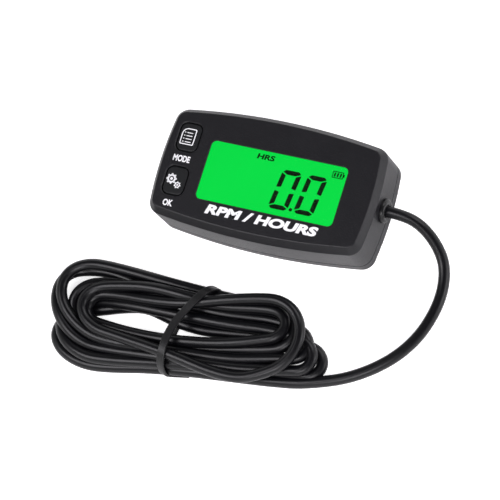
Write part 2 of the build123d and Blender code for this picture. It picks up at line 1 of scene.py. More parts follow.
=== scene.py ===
"""A small engine hour meter on a white studio floor, with its pickup lead tied in a hank beside it.

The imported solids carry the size, the joints and the hard parts. This script gives them their finishes and
adds what is soft, printed or lit: the lead, its band, the display's figures and the marks on the face.
Lengths are written in millimetres and become metres where a mesh is made.
"""
import logging
import math
from dataclasses import dataclass, field
from enum import Enum

import bmesh
import bpy
from mathutils import Matrix, Vector


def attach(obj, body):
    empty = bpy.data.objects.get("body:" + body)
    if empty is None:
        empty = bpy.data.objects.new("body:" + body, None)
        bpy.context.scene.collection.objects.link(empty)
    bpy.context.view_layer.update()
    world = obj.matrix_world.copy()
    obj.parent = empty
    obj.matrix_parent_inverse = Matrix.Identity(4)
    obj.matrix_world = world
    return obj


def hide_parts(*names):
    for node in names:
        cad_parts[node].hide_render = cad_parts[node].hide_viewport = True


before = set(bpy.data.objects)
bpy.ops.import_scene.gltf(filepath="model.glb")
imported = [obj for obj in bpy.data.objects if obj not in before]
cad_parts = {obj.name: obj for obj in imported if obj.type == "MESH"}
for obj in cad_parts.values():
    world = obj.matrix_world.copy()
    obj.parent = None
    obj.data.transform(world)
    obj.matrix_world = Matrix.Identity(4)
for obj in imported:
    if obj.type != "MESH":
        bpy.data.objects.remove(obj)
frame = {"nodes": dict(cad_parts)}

MM = 0.001
SAME_SPOT = 0.0005
Place = tuple[float, float]
Point = tuple[float, float, float]
Colour = tuple[float, float, float]

log = logging.getLogger("hour_meter")


class Body(Enum):
    """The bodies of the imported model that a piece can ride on."""

    HOUSING = "housing"
    MENU = "menu_button"
    SET = "set_button"


class Height(Enum):
    """Heights that the printed and the lit marks stand on, in millimetres."""

    FACE = 19.8
    CAP = 19.65
    DISPLAY = 17.31


def metres(point: Point) -> Vector:
    """Turns a point in millimetres into a vector in metres.

    Args:
        point: The point's three coordinates.

    Returns:
        The same point in metres.
    """
    return Vector(point) * MM


def leaning(slant: float) -> Matrix:
    """Gives the matrix that leans a flat shape to the right.

    Args:
        slant: How far it leans for each unit of height.

    Returns:
        The matrix.
    """
    lean = Matrix.Identity(4)
    lean[0][1] = slant
    return lean


def finished_piece(
    name: str, mesh: bpy.types.Mesh, body: Body, material: bpy.types.Material
) -> bpy.types.Object:
    """Puts a finished mesh into the scene as a piece on a body.

    Args:
        name: The piece's name.
        mesh: Its mesh, already in its place.
        body: The body it rides on.
        material: Its material.

    Returns:
        The new object.
    """
    piece = bpy.data.objects.new(name, mesh)
    bpy.context.scene.collection.objects.link(piece)
    mesh.materials.append(material)
    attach(piece, body.value)
    log.info("%s: %d faces on %s", name, len(mesh.polygons), body.value)
    return piece


def mesh_from(shape: bmesh.types.BMesh, name: str) -> bpy.types.Mesh:
    """Closes a bmesh in millimetres and turns it into a mesh in metres.

    Args:
        shape: The bmesh, which is freed.
        name: The mesh's name.

    Returns:
        The mesh, with its faces pointing outwards.
    """
    bmesh.ops.remove_doubles(shape, verts=shape.verts, dist=SAME_SPOT)
    bmesh.ops.recalc_face_normals(shape, faces=shape.faces)
    bmesh.ops.scale(shape, vec=Vector((MM, MM, MM)), verts=shape.verts)
    mesh = bpy.data.meshes.new(name)
    shape.to_mesh(mesh)
    shape.free()
    return mesh


# Finishes


class NodeTree:
    """A short way to add and join nodes in a material, a world or a group."""

    def __init__(self, tree: bpy.types.NodeTree) -> None:
        """Keeps the tree that the nodes go into."""
        self.tree = tree

    def add(self, kind: str, **values: object) -> bpy.types.Node:
        """Adds a node.

        Args:
            kind: The node's type name without the ShaderNode prefix.
            values: Settings of the node, or numbers for its inputs, with spaces written as underscores.

        Returns:
            The node.
        """
        node = self.tree.nodes.new("ShaderNode" + kind)
        for name, value in values.items():
            socket = node.inputs.get(name.replace("_", " "))
            if socket is None:
                setattr(node, name, value)
            else:
                socket.default_value = value
        return node

    def join(self, source: bpy.types.NodeSocket, target: bpy.types.NodeSocket) -> None:
        """Links an output to an input."""
        self.tree.links.new(source, target)


class SharedEffects:
    """The effects that several finishes use, each built once as a group of nodes."""

    CLOUD_SCALE = 70.0
    TARNISH_SCALE = 260.0
    TARNISH_TONES = (0.82, 1.05)
    LINE_STRETCH = (0.06, 1.0, 1.0)
    LINE_ROUGHNESS = 0.16
    made: dict[str, bpy.types.ShaderNodeTree] = {}

    @classmethod
    def _group(
        cls, name: str, inputs: dict[str, float | tuple], outputs: dict[str, str]
    ) -> tuple[bpy.types.ShaderNodeTree, NodeTree, bpy.types.Node, bpy.types.Node]:
        """Starts a group with named sockets.

        Args:
            name: The group's name.
            inputs: Each input's name and its value, a number or a colour.
            outputs: Each output's name and its socket type.

        Returns:
            The group, its node helper, its input node and its output node.
        """
        group = bpy.data.node_groups.new(name, "ShaderNodeTree")
        for label, value in inputs.items():
            kind = "NodeSocketFloat" if isinstance(value, float) else "NodeSocketColor"
            socket = group.interface.new_socket(label, in_out="INPUT", socket_type=kind)
            socket.default_value = value
        for label, kind in outputs.items():
            group.interface.new_socket(label, in_out="OUTPUT", socket_type=kind)
        nodes = NodeTree(group)
        start = group.nodes.new("NodeGroupInput")
        end = group.nodes.new("NodeGroupOutput")
        cls.made[name] = group
        return group, nodes, start, end

    @classmethod
    def skin(cls) -> bpy.types.ShaderNodeTree:
        """A moulded skin: fine grain, and a slow change of colour and gloss over the part.

        Returns:
            The group, with the outputs Colour, Roughness and Height.
        """
        if "moulded_skin" in cls.made:
            return cls.made["moulded_skin"]
        group, nodes, start, end = cls._group(
            "moulded_skin",
            {"Colour": (0.02, 0.02, 0.02, 1.0), "Grain": 4000.0, "Roughness": 0.5, "Change": 0.1},
            {"Colour": "NodeSocketColor", "Roughness": "NodeSocketFloat", "Height": "NodeSocketFloat"},
        )
        place = nodes.add("TexCoord")
        grain = nodes.add("TexNoise", Detail=3.0, Roughness=0.6)
        nodes.join(place.outputs["Object"], grain.inputs["Vector"])
        nodes.join(start.outputs["Grain"], grain.inputs["Scale"])
        cloud = nodes.add("TexNoise", Scale=cls.CLOUD_SCALE, Detail=3.0, Roughness=0.55)
        nodes.join(place.outputs["Object"], cloud.inputs["Vector"])
        centred = nodes.add("Math", operation="SUBTRACT")
        nodes.join(cloud.outputs["Fac"], centred.inputs[0])
        centred.inputs[1].default_value = 0.5
        change = nodes.add("Math", operation="MULTIPLY")
        nodes.join(centred.outputs[0], change.inputs[0])
        nodes.join(start.outputs["Change"], change.inputs[1])
        rough = nodes.add("Math", operation="ADD", use_clamp=True)
        nodes.join(change.outputs[0], rough.inputs[0])
        nodes.join(start.outputs["Roughness"], rough.inputs[1])
        lift = nodes.add("Math", operation="ADD")
        nodes.join(change.outputs[0], lift.inputs[0])
        lift.inputs[1].default_value = 1.0
        tone = nodes.add("VectorMath", operation="SCALE")
        nodes.join(start.outputs["Colour"], tone.inputs[0])
        nodes.join(lift.outputs[0], tone.inputs["Scale"])
        nodes.join(tone.outputs[0], end.inputs["Colour"])
        nodes.join(rough.outputs[0], end.inputs["Roughness"])
        nodes.join(grain.outputs["Fac"], end.inputs["Height"])
        return group

    @classmethod
    def brush(cls) -> bpy.types.ShaderNodeTree:
        """Fine drawn lines along one direction, with a little tarnish.

        Returns:
            The group, with the outputs Colour, Roughness and Height.
        """
        if "drawn_lines" in cls.made:
            return cls.made["drawn_lines"]
        group, nodes, start, end = cls._group(
            "drawn_lines",
            {"Colour": (0.6, 0.6, 0.6, 1.0), "Lines": 3000.0, "Roughness": 0.35},
            {"Colour": "NodeSocketColor", "Roughness": "NodeSocketFloat", "Height": "NodeSocketFloat"},
        )
        place = nodes.add("TexCoord")
        stretch = nodes.add("Mapping", vector_type="POINT")
        stretch.inputs["Scale"].default_value = cls.LINE_STRETCH
        nodes.join(place.outputs["Object"], stretch.inputs["Vector"])
        lines = nodes.add("TexNoise", Detail=2.0)
        nodes.join(stretch.outputs[0], lines.inputs["Vector"])
        nodes.join(start.outputs["Lines"], lines.inputs["Scale"])
        tarnish = nodes.add("TexNoise", Scale=cls.TARNISH_SCALE, Detail=4.0)
        nodes.join(place.outputs["Object"], tarnish.inputs["Vector"])
        worn, bright = cls.TARNISH_TONES
        fade = nodes.add("MapRange", From_Min=0.3, From_Max=0.7, To_Min=worn, To_Max=bright)
        nodes.join(tarnish.outputs["Fac"], fade.inputs["Value"])
        tone = nodes.add("VectorMath", operation="SCALE")
        nodes.join(start.outputs["Colour"], tone.inputs[0])
        nodes.join(fade.outputs[0], tone.inputs["Scale"])
        rough = nodes.add("Math", operation="MULTIPLY_ADD", use_clamp=True)
        nodes.join(lines.outputs["Fac"], rough.inputs[0])
        rough.inputs[1].default_value = cls.LINE_ROUGHNESS
        nodes.join(start.outputs["Roughness"], rough.inputs[2])
        nodes.join(tone.outputs[0], end.inputs["Colour"])
        nodes.join(rough.outputs[0], end.inputs["Roughness"])
        nodes.join(lines.outputs["Fac"], end.inputs["Height"])
        return group


@dataclass(frozen=True)
class Finish:
    """A surface finish that one material is made from.

    The grain is the number of specks in a metre, its depth is in metres, and the change is how far the tone
    and the roughness wander over the part.
    """

    name: str
    colour: Colour
    roughness: float = 0.5
    grain: float = 4000.0
    depth: float = 0.00002
    change: float = 0.15
    shine: float = 0.5

    def start(self) -> tuple[bpy.types.Material, NodeTree, bpy.types.Node]:
        """Starts the material.

        Returns:
            The material, its node helper and its Principled shader.
        """
        material = bpy.data.materials.new(self.name)
        material.use_nodes = True
        nodes = NodeTree(material.node_tree)
        return material, nodes, material.node_tree.nodes["Principled BSDF"]

    def effect(
        self, nodes: NodeTree, surface: bpy.types.Node, group: bpy.types.ShaderNodeTree, **values: float
    ) -> None:
        """Places a shared effect and joins it to the shader.

        Args:
            nodes: The material's node helper.
            surface: The Principled shader.
            group: The shared effect.
            values: Numbers for the effect's own inputs.
        """
        skin = nodes.add("Group", node_tree=group)
        skin.inputs["Colour"].default_value = (*self.colour, 1.0)
        skin.inputs["Roughness"].default_value = self.roughness
        for label, value in values.items():
            skin.inputs[label].default_value = value
        bump = nodes.add("Bump", Distance=self.depth, Strength=1.0)
        nodes.join(skin.outputs["Height"], bump.inputs["Height"])
        nodes.join(bump.outputs["Normal"], surface.inputs["Normal"])
        nodes.join(skin.outputs["Colour"], surface.inputs["Base Color"])
        nodes.join(skin.outputs["Roughness"], surface.inputs["Roughness"])

    def material(self) -> bpy.types.Material:
        """Makes a moulded plastic or rubber material.

        Returns:
            The material.
        """
        material, nodes, surface = self.start()
        self.effect(nodes, surface, SharedEffects.skin(), Grain=self.grain, Change=self.change)
        surface.inputs["Specular IOR Level"].default_value = self.shine
        return material


@dataclass(frozen=True)
class MetalFinish(Finish):
    """A drawn, plated or spring metal."""

    def material(self) -> bpy.types.Material:
        """Makes the metal's material.

        Returns:
            The material.
        """
        material, nodes, surface = self.start()
        self.effect(nodes, surface, SharedEffects.brush(), Lines=self.grain)
        surface.inputs["Metallic"].default_value = 1.0
        return material


@dataclass(frozen=True)
class ClearFinish(Finish):
    """A clear plate or moulding."""

    ior: float = 1.45

    def material(self) -> bpy.types.Material:
        """Makes the clear material.

        Returns:
            The material.
        """
        material, nodes, surface = self.start()
        self.effect(nodes, surface, SharedEffects.skin(), Grain=self.grain, Change=self.change)
        surface.inputs["Specular IOR Level"].default_value = self.shine
        surface.inputs["IOR"].default_value = self.ior
        surface.inputs["Transmission Weight"].default_value = 1.0
        return material


@dataclass(frozen=True)
class GlowFinish(Finish):
    """A surface lit from behind, in its own colour, of which a small share shows unlit."""

    glow: float = 1.0
    unlit: float = 0.06
    cloud_scale: float = 45.0

    def material(self) -> bpy.types.Material:
        """Makes the lit material.

        Returns:
            The material.
        """
        material, nodes, surface = self.start()
        place = nodes.add("TexCoord")
        cloud = nodes.add("TexNoise", Scale=self.cloud_scale, Detail=1.0)
        nodes.join(place.outputs["Object"], cloud.inputs["Vector"])
        even = nodes.add("MapRange", From_Min=0.3, From_Max=0.7, To_Min=1.0 - self.change, To_Max=1.0)
        nodes.join(cloud.outputs["Fac"], even.inputs["Value"])
        tone = nodes.add("VectorMath", operation="SCALE")
        tone.inputs[0].default_value = self.colour
        nodes.join(even.outputs[0], tone.inputs["Scale"])
        nodes.join(tone.outputs[0], surface.inputs["Emission Color"])
        surface.inputs["Emission Strength"].default_value = self.glow
        dim = nodes.add("VectorMath", operation="SCALE", Scale=self.unlit)
        nodes.join(tone.outputs[0], dim.inputs[0])
        nodes.join(dim.outputs[0], surface.inputs["Base Color"])
        surface.inputs["Roughness"].default_value = self.roughness
        surface.inputs["Specular IOR Level"].default_value = self.shine
        return material


class Finishes:
    """Every finish of the meter and its lead, made when first asked for."""

    SLOTS: dict[str, Finish] = {
        "housing": Finish("satin_black_shell", (0.0078, 0.0076, 0.0095), 0.37, 2200.0, 0.00007, 0.10, 0.42),
        "button_rubber": Finish(
            "black_keypad_rubber", (0.008, 0.0085, 0.0095), 0.5, 6500.0, 0.00001, 0.12, 0.3
        ),
        "window": ClearFinish("clear_window_plate", (1.0, 1.0, 1.0), 0.03, 900.0, 0.0000004, 0.01, 0.05),
        "lcd": GlowFinish("lit_green_display", (0.0, 0.775, 0.065), 0.4, change=0.03, shine=0.1),
        "frame_plastic": Finish("black_frame_plastic", (0.03, 0.03, 0.032), 0.55, 4200.0, 0.00002, 0.12),
        "guide": ClearFinish("frosted_light_guide", (0.86, 0.97, 0.88), 0.25, 2600.0, 0.000008, 0.05, 0.4),
        "led": ClearFinish("lamp_lens", (0.95, 0.93, 0.6), 0.18, 2000.0, 0.000004, 0.05),
        "board": Finish("green_solder_mask", (0.012, 0.13, 0.045), 0.32, 2300.0, 0.00001, 0.3),
        "chip": Finish("moulded_chip", (0.018, 0.018, 0.019), 0.6, 5200.0, 0.00002, 0.2),
        "cell": MetalFinish("bright_cell_steel", (0.62, 0.61, 0.59), 0.22, 1500.0, 0.000004),
        "contact_metal": MetalFinish("nickelled_spring", (0.66, 0.62, 0.53), 0.28, 2200.0, 0.000004),
        "screw_steel": MetalFinish("zinc_plated_screw", (0.47, 0.48, 0.49), 0.3, 2600.0, 0.000005),
        "seal_rubber": Finish("soft_seal_rubber", (0.018, 0.018, 0.018), 0.7, 3600.0, 0.00002, 0.2, 0.35),
        "foam": Finish("open_foam", (0.055, 0.055, 0.058), 0.95, 1500.0, 0.00025, 0.35, 0.1),
        "grommet": Finish(
            "glossy_grommet_rubber", (0.0065, 0.0065, 0.007), 0.26, 2600.0, 0.000012, 0.12, 0.5
        ),
        "lead": Finish("satin_lead_jacket", (0.0026, 0.0026, 0.0036), 0.31, 1500.0, 0.00002, 0.12, 0.44),
        "copper": MetalFinish("tinned_copper", (0.78, 0.46, 0.3), 0.3, 2600.0, 0.000006),
        "tie": Finish("flat_band_plastic", (0.0065, 0.0065, 0.007), 0.4, 1900.0, 0.00002, 0.15, 0.45),
    }
    EXTRA: dict[str, Finish] = {
        "ink": Finish("white_face_ink", (0.86, 0.86, 0.88), 0.55, 5200.0, 0.00001, 0.06, 0.3),
        "segment": Finish("dark_display_segment", (0.011, 0.05, 0.016), 0.6, 3000.0, 0.000004, 0.2, 0.1),
        "legend": Finish("faint_display_legend", (0.003, 0.018, 0.006), 0.6, 3000.0, 0.000004, 0.2, 0.1),
    }
    made: dict[str, bpy.types.Material] = {}

    @classmethod
    def of(cls, name: str) -> bpy.types.Material:
        """Gives the material of a finish.

        Args:
            name: A record's slot, or one of the extra finishes.

        Returns:
            Its material.
        """
        if name not in cls.made:
            cls.made[name] = {**cls.SLOTS, **cls.EXTRA}[name].material()
        return cls.made[name]

    @classmethod
    def dress_solids(cls, nodes: dict[str, bpy.types.Object]) -> None:
        """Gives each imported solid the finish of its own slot.

        Args:
            nodes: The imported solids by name.
        """
        for name, node in nodes.items():
            for place in node.material_slots:
                place.material = cls.of(place.material.name.split(".")[0])
            log.info("%s: dressed as %s", name, node.material_slots[0].material.name)


# Camera and light


@dataclass
class StudioCamera:
    """The camera, given by the floor point it aims at and how it stands over it."""

    aim: Point = (-5.70, -20.47, 0.0)
    distance: float = 1032.8
    turn: float = 61.42
    tilt: float = 25.45
    roll: float = -46.30
    lens: float = 219.43
    sensor: float = 36.0

    def build(self) -> bpy.types.Object:
        """Adds the camera and makes it the scene's own.

        Returns:
            The camera object.
        """
        data = bpy.data.cameras.new("studio_camera")
        data.lens = self.lens
        data.sensor_width = self.sensor
        camera = bpy.data.objects.new("studio_camera", data)
        bpy.context.scene.collection.objects.link(camera)
        stand = (
            Matrix.Rotation(math.radians(self.turn), 4, "Z")
            @ Matrix.Rotation(math.radians(self.tilt), 4, "X")
            @ Matrix.Rotation(math.radians(self.roll), 4, "Z")
        )
        camera.matrix_world = Matrix.Translation(metres(self.aim)) @ stand @ Matrix.Translation(
            (0.0, 0.0, self.distance * MM)
        )
        bpy.context.scene.camera = camera
        return camera


@dataclass
class SoftBox:
    """A square lamp that faces the meter and that gloss may leave out."""

    name: str
    place: Point
    size: float
    power: float
    aim: Point = (0.0, -20.0, 5.0)
    colour: Colour = (0.98, 0.96, 1.0)
    mirrored: bool = True

    def build(self) -> bpy.types.Object:
        """Adds the lamp.

        Returns:
            The lamp object.
        """
        data = bpy.data.lights.new(self.name, "AREA")
        data.shape = "SQUARE"
        data.size = self.size * MM
        data.energy = self.power
        data.color = self.colour
        lamp = bpy.data.objects.new(self.name, data)
        bpy.context.scene.collection.objects.link(lamp)
        lamp.location = metres(self.place)
        lamp.rotation_euler = (metres(self.aim) - metres(self.place)).to_track_quat("-Z", "Y").to_euler()
        lamp.visible_camera = False
        lamp.visible_transmission = False
        lamp.visible_glossy = self.mirrored
        return lamp


@dataclass
class Studio:
    """The white floor, the pale surroundings with a darker ceiling, and the lamps."""

    floor_side: float = 4000.0
    floor_white: float = 0.8
    floor_roughness: float = 0.9
    floor_lift: float = 0.1
    eye_lift: float = 0.6
    surround: float = 0.2
    ceiling: float = 0.05
    ceiling_from: float = 0.2
    ceiling_full: float = 0.7
    lamps: list[SoftBox] = field(
        default_factory=lambda: [
            SoftBox("back_box", (250.0, 650.0, 600.0), 450.0, 1.4),
            SoftBox("left_box", (-380.0, -330.0, 790.0), 480.0, 3.6),
            SoftBox("front_box", (150.0, -500.0, 500.0), 300.0, 1.4),
            SoftBox("key_box", (400.0, -90.0, 350.0), 330.0, 2.2, mirrored=False),
            SoftBox("right_box", (650.0, 110.0, 150.0), 260.0, 0.45),
        ]
    )

    @staticmethod
    def seen(nodes: NodeTree) -> bpy.types.NodeSocket:
        """Tells the camera's rays, and those that gloss or glass sends on, from the rest.

        Args:
            nodes: The node helper of the material or world.

        Returns:
            An output that is one for those rays.
        """
        path = nodes.add("LightPath")
        first = nodes.add("Math", operation="MAXIMUM")
        nodes.join(path.outputs["Is Camera Ray"], first.inputs[0])
        nodes.join(path.outputs["Is Glossy Ray"], first.inputs[1])
        both = nodes.add("Math", operation="MAXIMUM")
        nodes.join(first.outputs[0], both.inputs[0])
        nodes.join(path.outputs["Is Transmission Ray"], both.inputs[1])
        return both.outputs[0]

    def _floor(self) -> bpy.types.Object:
        """Makes the floor, which shows white and still takes the object's shadow.

        Returns:
            The floor object.
        """
        shape = bmesh.new()
        bmesh.ops.create_grid(shape, x_segments=1, y_segments=1, size=self.floor_side / 2)
        floor = bpy.data.objects.new("studio_floor", mesh_from(shape, "studio_floor"))
        bpy.context.scene.collection.objects.link(floor)
        material = bpy.data.materials.new("white_floor")
        material.use_nodes = True
        nodes = NodeTree(material.node_tree)
        surface = material.node_tree.nodes["Principled BSDF"]
        surface.inputs["Base Color"].default_value = (self.floor_white,) * 3 + (1.0,)
        surface.inputs["Roughness"].default_value = self.floor_roughness
        surface.inputs["Specular IOR Level"].default_value = 0.0
        surface.inputs["Emission Strength"].default_value = 1.0
        lift = nodes.add("Math", operation="MULTIPLY")
        nodes.join(self.seen(nodes), lift.inputs[0])
        lift.inputs[1].default_value = self.floor_lift
        path = nodes.add("LightPath")
        shown = nodes.add("Math", operation="MULTIPLY_ADD")
        nodes.join(path.outputs["Is Camera Ray"], shown.inputs[0])
        shown.inputs[1].default_value = self.eye_lift
        nodes.join(lift.outputs[0], shown.inputs[2])
        nodes.join(shown.outputs[0], surface.inputs["Emission Color"])
        floor.data.materials.append(material)
        return floor

    def _world(self) -> None:
        """Makes the surroundings white to the eye, a softer grey as light, and darker overhead in gloss."""
        world = bpy.data.worlds.new("white_surroundings")
        bpy.context.scene.world = world
        world.use_nodes = True
        nodes = NodeTree(world.node_tree)
        background = world.node_tree.nodes["Background"]
        place = nodes.add("TexCoord")
        split = nodes.add("SeparateXYZ")
        nodes.join(place.outputs["Generated"], split.inputs[0])
        mirrored = nodes.add(
            "MapRange",
            interpolation_type="SMOOTHSTEP",
            From_Min=self.ceiling_from,
            From_Max=self.ceiling_full,
            To_Min=1.0,
            To_Max=self.ceiling,
        )
        nodes.join(split.outputs["Z"], mirrored.inputs["Value"])
        gloss = nodes.add("Mix", data_type="FLOAT")
        gloss.inputs[2].default_value = self.surround
        nodes.join(self.seen(nodes), gloss.inputs[0])
        nodes.join(mirrored.outputs[0], gloss.inputs[3])
        tone = nodes.add("Math", operation="MAXIMUM")
        path = nodes.add("LightPath")
        nodes.join(gloss.outputs[0], tone.inputs[0])
        nodes.join(path.outputs["Is Camera Ray"], tone.inputs[1])
        nodes.join(tone.outputs[0], background.inputs["Color"])

    def build(self) -> None:
        """Builds the floor, the surroundings and the lamps."""
        self._floor()
        self._world()
        for lamp in self.lamps:
            lamp.build()
        bpy.context.scene.view_settings.view_transform = "Standard"


# The lead


@dataclass(frozen=True)
class HankTurn:
    """One turn of the hank: along its front, round its left bend, along its back and round its right bend.

    A bend is given by its first point, its tip and its last point.
    """

    front: list[Point]
    left: list[Point]
    back: list[Point]
    right: list[Point]


@dataclass
class PickupLead:
    """The thin black lead, from the grommet down to the floor and into its hank."""

    radius: float = 1.95
    length: float = 1410.0
    bend_step: float = 30.0
    smooth_steps: int = 8
    round_steps: int = 6
    route: list[Point] = field(
        default_factory=lambda: [
            (39.0, 0.2, 9.98),
            (46.0, 0.2, 9.98),
            (53.0, -1.2, 9.0),
            (59.0, -5.3, 6.2),
            (63.5, -11.2, 3.2),
            (65.2, -19.2, 1.95),
            (64.7, -28.1, 1.95),
            (61.4, -38.2, 1.95),
            (54.5, -47.5, 1.95),
            (43.5, -55.6, 1.95),
            (31.4, -60.2, 1.95),
            (20.8, -62.8, 1.95),
        ]
    )
    turns: list[HankTurn] = field(
        default_factory=lambda: [
            HankTurn(
                [(-22.0, -67.3, 2.6)],
                [(-44.5, -72.2, 2.0), (-64.3, -65.0, 2.0), (-51.0, -53.0, 2.0)],
                [
                    (-42.0, -50.0, 2.3),
                    (-34.0, -48.5, 2.6),
                    (-26.0, -50.2, 2.8),
                    (-20.0, -51.4, 2.8),
                    (-11.6, -51.7, 2.4),
                    (-3.5, -50.6, 2.2),
                    (7.0, -49.2, 2.0),
                    (16.0, -48.2, 2.0),
                ],
                [(25.8, -48.6, 2.0), (32.5, -53.8, 2.0), (26.8, -59.0, 2.1)],
            ),
            HankTurn(
                [(15.0, -60.4, 2.2), (-0.5, -62.5, 2.6), (-21.0, -66.2, 5.4)],
                [(-44.5, -70.4, 5.6), (-62.5, -62.0, 4.6), (-52.5, -50.5, 2.4)],
                [(-40.5, -49.5, 5.4), (-18.0, -49.0, 6.0), (-2.0, -48.5, 6.0), (13.0, -46.8, 5.7)],
                [(22.6, -47.4, 5.5), (29.7, -53.3, 5.4), (23.2, -58.8, 5.4)],
            ),
            HankTurn(
                [(12.5, -61.0, 5.6), (1.0, -63.0, 5.9), (-23.5, -64.5, 6.0)],
                [(-46.0, -66.6, 5.0), (-65.5, -55.0, 7.4), (-58.5, -40.5, 4.0)],
                [
                    (-49.5, -39.6, 4.2),
                    (-38.0, -41.6, 4.2),
                    (-20.2, -44.7, 4.0),
                    (-7.5, -45.2, 4.0),
                    (3.4, -43.9, 3.5),
                    (11.0, -43.0, 3.4),
                ],
                [(19.1, -43.8, 4.0), (27.1, -49.7, 5.2), (20.3, -55.2, 5.2)],
            ),
            HankTurn(
                [(11.0, -57.4, 5.0), (-0.5, -60.0, 5.2), (-23.5, -62.0, 6.3)],
                [(-43.9, -63.9, 6.8), (-64.5, -50.5, 9.3), (-50.5, -38.5, 8.6)],
                [(-21.0, -39.5, 6.4), (-4.0, -39.0, 3.0)],
                [(10.0, -38.8, 3.2), (21.4, -45.3, 6.0), (14.0, -53.4, 5.0)],
            ),
            HankTurn(
                [(-2.0, -56.5, 3.6), (-24.5, -60.5, 2.9)],
                [(-46.5, -61.0, 2.8), (-59.5, -54.0, 6.8), (-50.0, -44.0, 6.4)],
                [(-42.0, -43.3, 6.4), (-22.5, -44.0, 6.4), (-5.5, -43.0, 6.2), (3.5, -41.3, 6.2)],
                [(10.6, -40.3, 6.5), (17.9, -44.8, 7.4), (11.9, -51.0, 7.6)],
            ),
            HankTurn(
                [(4.0, -53.8, 7.6), (-6.0, -56.3, 7.2), (-21.5, -58.5, 6.7), (-36.0, -59.0, 6.0)],
                [(-47.4, -58.4, 5.8), (-54.3, -53.6, 5.9), (-48.3, -47.9, 6.6)],
                [(-41.0, -47.2, 7.3), (-31.5, -47.0, 8.3), (-18.0, -45.5, 9.2), (-5.5, -41.5, 10.0)],
                [(8.0, -38.0, 10.2), (24.5, -45.5, 10.0), (15.5, -62.5, 9.0)],
            ),
            HankTurn(
                [(8.0, -66.0, 8.8), (-3.0, -66.0, 9.3), (-18.5, -63.5, 10.2)],
                [(-40.5, -61.5, 9.2), (-55.0, -54.5, 9.3), (-45.5, -45.0, 9.4)],
                [
                    (-32.5, -42.5, 9.5),
                    (-18.0, -43.0, 9.8),
                    (-9.0, -42.5, 6.8),
                    (-0.5, -40.5, 6.1),
                    (7.0, -39.0, 6.0),
                    (13.5, -39.0, 6.0),
                ],
                [],
            ),
        ]
    )

    def _bend(self, ends: list[Point]) -> list[Vector]:
        """Works out the points round one bend of a turn.

        Args:
            ends: The bend's first point, tip and last point, or nothing.

        Returns:
            Points from the first to the last, a step apart on half an ellipse through the tip.
        """
        if not ends:
            return []
        first, tip, last = (Vector(point) for point in ends)
        centre = (first + last) / 2
        steps = round(180.0 / self.bend_step)
        return [
            centre
            + (first - centre) * math.cos(math.pi * step / steps)
            + (tip - centre) * math.sin(math.pi * step / steps)
            for step in range(steps + 1)
        ]

    def points(self) -> list[Vector]:
        """Gives the whole line of the lead, in metres.

        Returns:
            The route to the hank, then every turn of the hank.
        """
        line = [Vector(point) for point in self.route]
        for turn in self.turns:
            line += [Vector(point) for point in turn.front]
            line += self._bend(turn.left)
            line += [Vector(point) for point in turn.back]
            line += self._bend(turn.right)
        return [point * MM for point in line]

    def build(self) -> bpy.types.Object:
        """Makes the lead as one smooth spline.

        Returns:
            The lead's curve object.
        """
        curve = bpy.data.curves.new("pickup_lead", "CURVE")
        curve.dimensions = "3D"
        curve.resolution_u = self.smooth_steps
        curve.bevel_depth = self.radius * MM
        curve.bevel_resolution = self.round_steps
        curve.use_fill_caps = True
        spline = curve.splines.new("NURBS")
        line = self.points()
        spline.points.add(len(line) - 1)
        for place, point in zip(spline.points, line):
            place.co = (*point, 1.0)
        spline.order_u = 3
        spline.use_endpoint_u = True
        curve.materials.append(Finishes.of("lead"))
        lead = bpy.data.objects.new("pickup_lead", curve)
        bpy.context.scene.collection.objects.link(lead)
        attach(lead, Body.HOUSING.value)
        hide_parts("lead_run", "lead_hank")
        log.info("pickup_lead: %d points", len(line))
        return lead


